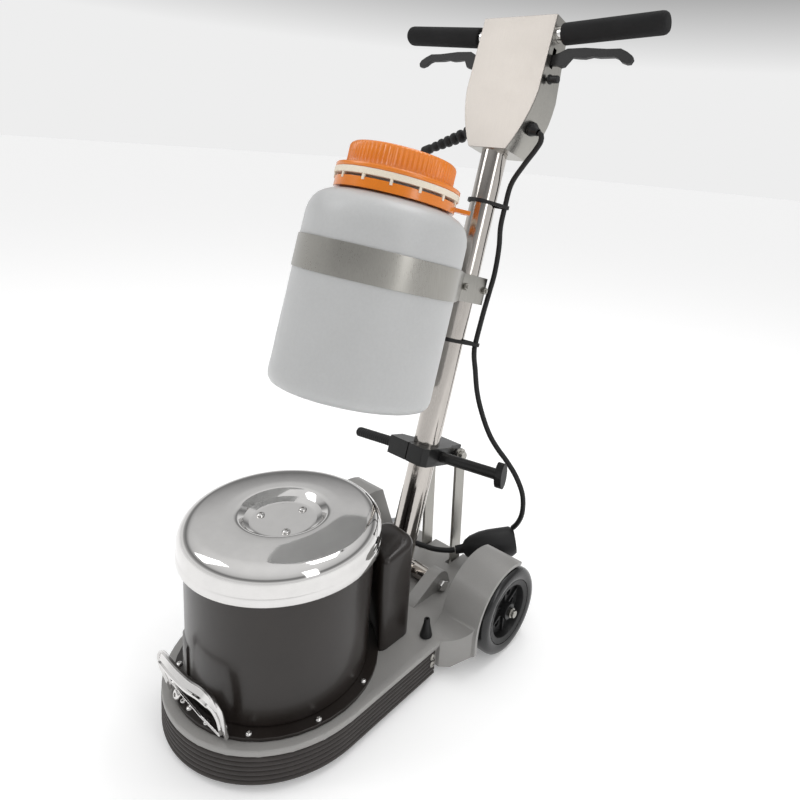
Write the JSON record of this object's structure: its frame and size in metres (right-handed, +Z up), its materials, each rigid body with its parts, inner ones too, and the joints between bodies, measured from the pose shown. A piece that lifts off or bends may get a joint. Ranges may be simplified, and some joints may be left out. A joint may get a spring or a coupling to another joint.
{
  "type": "rotary floor machine",
  "caption": "Single-disc floor polisher with tilting pole, twin-lever control head, strapped solution bottle, motor and transport wheels.",
  "frame": {"origin": "centre of the machine on the floor, without its mains lead", "axes": "+Z up, -Y to the front, where the brush and motor are, +X to the right of someone facing the front from behind"},
  "size_m": [0.6465, 0.639, 1.0046],
  "materials": {
    "deck_paint": "light grey painted casting",
    "bumper_rubber": "matt dark brown-black",
    "motor_paint": "satin dark brown-black",
    "chrome": "polished",
    "steel": "brushed",
    "winding": "varnished",
    "black_plastic": "fine grain",
    "black_paint": "satin black paint",
    "black_rubber": "satin",
    "foam_rubber": "soft matt",
    "bottle_plastic": "translucent white",
    "orange_plastic": "satin",
    "seal_rubber": "matt",
    "bristle": "nylon tufts",
    "grey_lead": "matt"
  },
  "bodies": {
    "deck": {"deck_housing": "deck_paint", "bumper": "bumper_rubber", "pivot_bolt": "chrome", "strut_foot_pin": "steel", "solution_inlet": "black_plastic", "motor_flange": "motor_paint", "motor_housing": "motor_paint", "motor_cap": "chrome", "stator": "winding", "shaft_bearing": "steel", "ring_gear": "steel", "capacitor_box": "motor_paint", "capacitor": "black_plastic", "front_handle": "chrome", "axle_right": "steel", "axle_left": "steel", "deck_lead": "black_rubber", "lead_connector": "black_rubber", "lead_loop": "black_rubber", "mains_lead": "grey_lead", "mains_coil": "grey_lead", "mains_plug": "black_rubber"},
    "handle": {"pole": "chrome", "handlebar": "chrome", "grip_right": "foam_rubber", "grip_left": "foam_rubber", "head_box": "steel", "head_plate": "steel", "control_switch": "black_plastic", "lead_gland": "black_plastic", "strain_relief": "black_rubber", "bottle": "bottle_plastic", "bottle_collar": "orange_plastic", "bottle_strap": "steel", "strap_bolt_front": "steel", "strap_bolt_rear": "steel", "handle_lead": "black_rubber", "cable_tie_upper": "black_plastic", "cable_tie_lower": "black_plastic"},
    "clamp": {"clamp_block": "black_paint", "clamp_peg": "black_plastic"},
    "clamp_handle": {"clamp_lever": "black_plastic"},
    "strut_r": {"strut_right": "steel"},
    "strut_l": {"strut_left": "steel"},
    "lever_r": {"lever_right": "black_plastic"},
    "lever_l": {"lever_left": "black_plastic"},
    "button": {"lock_button": "black_plastic"},
    "wheel_r": {"wheel_rim_right": "black_plastic", "tyre_right": "black_rubber"},
    "wheel_l": {"wheel_rim_left": "black_plastic", "tyre_left": "black_rubber"},
    "armature": {"rotor": "steel"},
    "output": {"output_carrier": "steel", "brush_block": "black_plastic", "brush_bristles": "bristle"},
    "planet_1": {"planet_gear_1": "steel"},
    "planet_2": {"planet_gear_2": "steel"},
    "planet_3": {"planet_gear_3": "steel"},
    "seal": {"lid_seal": "seal_rubber"},
    "lid": {"bottle_lid": "orange_plastic"}
  },
  "joints": [
    {"name": "handle_tilt", "type": "hinge", "parent": "deck", "child": "handle", "pos_m": [0, 0.0975, 0.068], "axis": [-1, 0, 0], "range_deg": [-6, 34], "deforming": ["lead_loop", "mains_lead"]},
    {"name": "clamp_slide", "type": "slide", "parent": "handle", "child": "clamp", "axis": [0, 0.2453, 0.9694], "range_m": [-0.0095, 0.0525]},
    {"name": "clamp_lever_turn", "type": "hinge", "parent": "clamp", "child": "clamp_handle", "pos_m": [0.0345, 0.12145, 0.27518], "axis": [0.9954, 0.0235, 0.0929], "range_deg": [-90, 90]},
    {"name": "strut_swing_r", "type": "hinge", "parent": "deck", "child": "strut_r", "pos_m": [0.033, 0.1815, 0.044], "axis": [-1, 0, 0], "range_deg": [-7, 38]},
    {"name": "strut_swing_l", "type": "hinge", "parent": "deck", "child": "strut_l", "pos_m": [-0.033, 0.1815, 0.044], "axis": [-1, 0, 0], "range_deg": [-7, 38]},
    {"name": "lever_pull_r", "type": "hinge", "parent": "handle", "child": "lever_r", "pos_m": [0.052, 0.27679, 0.92753], "axis": [0, -0.9598, 0.2807], "range_deg": [0, 6.5], "stiffness_Nm_per_rad": 2, "springref_deg": -5.73},
    {"name": "lever_pull_l", "type": "hinge", "parent": "handle", "child": "lever_l", "pos_m": [-0.052, 0.27679, 0.92753], "axis": [0, 0.9598, -0.2807], "range_deg": [0, 6.5], "stiffness_Nm_per_rad": 2, "springref_deg": -5.73},
    {"name": "lock_press", "type": "slide", "parent": "handle", "child": "button", "axis": [-1, 0, 0], "range_m": [0, 0.004], "stiffness_N_per_m": 300, "springref_m": -0.002},
    {"name": "wheel_roll_r", "type": "hinge", "parent": "deck", "child": "wheel_r", "pos_m": [0.177, 0.1215, 0.069], "axis": [1, 0, 0], "continuous": true},
    {"name": "wheel_roll_l", "type": "hinge", "parent": "deck", "child": "wheel_l", "pos_m": [-0.177, 0.1215, 0.069], "axis": [1, 0, 0], "continuous": true},
    {"name": "rotor_spin", "type": "hinge", "parent": "deck", "child": "armature", "pos_m": [0, -0.1685, 0.14], "axis": [0, 0, 1], "continuous": true},
    {"name": "brush_spin", "type": "hinge", "parent": "deck", "child": "output", "pos_m": [0, -0.1685, 0.02], "axis": [0, 0, 1], "continuous": true},
    {"name": "planet_spin_1", "type": "hinge", "parent": "output", "child": "planet_1", "pos_m": [0.03, -0.1685, 0.045], "axis": [0, 0, 1], "continuous": true},
    {"name": "planet_spin_2", "type": "hinge", "parent": "output", "child": "planet_2", "pos_m": [-0.015, -0.14252, 0.045], "axis": [0, 0, 1], "continuous": true},
    {"name": "planet_spin_3", "type": "hinge", "parent": "output", "child": "planet_3", "pos_m": [-0.015, -0.19448, 0.045], "axis": [0, 0, 1], "continuous": true},
    {"name": "lid_rise", "type": "slide", "parent": "handle", "child": "seal", "axis": [0, 0.2453, 0.9694], "range_m": [0, 0.0092]},
    {"name": "lid_turn", "type": "hinge", "parent": "seal", "child": "lid", "pos_m": [0, 0.01439, 0.72445], "axis": [0, 0.2453, 0.9694], "range_deg": [0, 540]}
  ],
  "couplings": [
    {"joint": "clamp_slide", "follows": "handle_tilt", "m_per_rad": 0.088},
    {"joint": "strut_swing_r", "follows": "handle_tilt", "ratio": 1.09},
    {"joint": "strut_swing_l", "follows": "handle_tilt", "ratio": 1.09},
    {"joint": "brush_spin", "follows": "rotor_spin", "ratio": 0.125},
    {"joint": "planet_spin_1", "follows": "rotor_spin", "ratio": -0.29167},
    {"joint": "planet_spin_2", "follows": "rotor_spin", "ratio": -0.29167},
    {"joint": "planet_spin_3", "follows": "rotor_spin", "ratio": -0.29167},
    {"joint": "lid_rise", "follows": "lid_turn", "m_per_rad": 0.000955}
  ]
}
